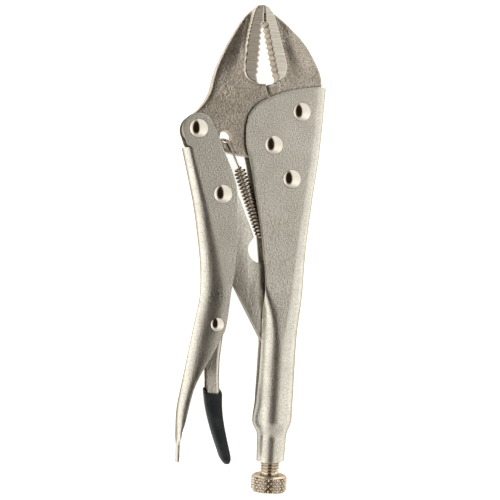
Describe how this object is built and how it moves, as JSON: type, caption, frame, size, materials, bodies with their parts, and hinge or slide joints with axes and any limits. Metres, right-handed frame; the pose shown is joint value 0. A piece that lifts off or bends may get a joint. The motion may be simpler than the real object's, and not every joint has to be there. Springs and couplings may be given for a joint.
{
  "type": "locking pliers",
  "caption": "Hand tool with toothed curved jaws, an over-centre toggle lever, a release lever and a knurled adjusting screw, shown closed.",
  "frame": {"origin": "middle of the closed tool's outline, on the surface that it lies on", "axes": "+Y along the tool towards the jaws, +Z through its thickness away from the surface, +X from the lever handle to the fixed handle"},
  "size_m": [0.079, 0.2486, 0.0196],
  "materials": {
    "plated_sheet": "tumbled and nickel plated, satin",
    "forged_steel": "shot blasted forging, nickel plated, teeth pads ground",
    "polished_rivet": "polished",
    "turned_steel": "turned and nickel plated, bright",
    "spring_wire": "drawn wire, bright",
    "vinyl": "matte dipped vinyl"
  },
  "bodies": {
    "fixed_handle": {"fixed_handle": "plated_sheet", "fixed_jaw": "forged_steel", "fixed_jaw_front_rivet": "polished_rivet", "fixed_jaw_rear_rivet": "polished_rivet", "jaw_pivot_rivet": "polished_rivet", "jaw_spring": "spring_wire"},
    "moving_jaw": {"moving_jaw": "forged_steel"},
    "lever_handle": {"lever_handle": "plated_sheet", "lever_pivot_rivet": "polished_rivet", "link_pivot_rivet": "polished_rivet", "release_pivot_rivet": "polished_rivet"},
    "toggle_link": {"toggle_link": "plated_sheet"},
    "release_lever": {"release_lever": "plated_sheet", "release_lever_sleeve": "vinyl"},
    "screw_rod": {"adjusting_screw_rod": "turned_steel"},
    "screw_head": {"adjusting_screw_head": "turned_steel"}
  },
  "joints": [
    {"name": "jaw_open", "type": "hinge", "parent": "fixed_handle", "child": "moving_jaw", "pos_m": [0.01034, 0.05188, 0.0098], "axis": [0, 0, 1], "range_deg": [0, 23.8], "deforming": ["jaw_spring"]},
    {"name": "handle_open", "type": "hinge", "parent": "moving_jaw", "child": "lever_handle", "pos_m": [-0.02836, 0.05928, 0.0098], "axis": [0, 0, -1], "range_deg": [0, 70]},
    {"name": "link_swing", "type": "hinge", "parent": "lever_handle", "child": "toggle_link", "pos_m": [-0.01606, 0.02668, 0.0098], "axis": [0, 0, 1], "range_deg": [0, 70]},
    {"name": "release_swing", "type": "hinge", "parent": "lever_handle", "child": "release_lever", "pos_m": [-0.01896, -0.03868, 0.0098], "axis": [0, 0, -1], "range_deg": [0, 6]},
    {"name": "screw_travel", "type": "slide", "parent": "fixed_handle", "child": "screw_rod", "axis": [-0.0599, -0.9982, 0], "range_m": [0, 0.025]},
    {"name": "screw_turn", "type": "hinge", "parent": "screw_rod", "child": "screw_head", "pos_m": [0.00918, -0.12002, 0.0098], "axis": [-0.0599, -0.9982, 0], "range_deg": [0, 6000]}
  ],
  "couplings": [
    {"joint": "jaw_open", "follows": "handle_open", "ratio": 0.34},
    {"joint": "link_swing", "follows": "handle_open", "ratio": 1},
    {"joint": "screw_turn", "follows": "screw_travel", "rad_per_m": 4188.8}
  ]
}
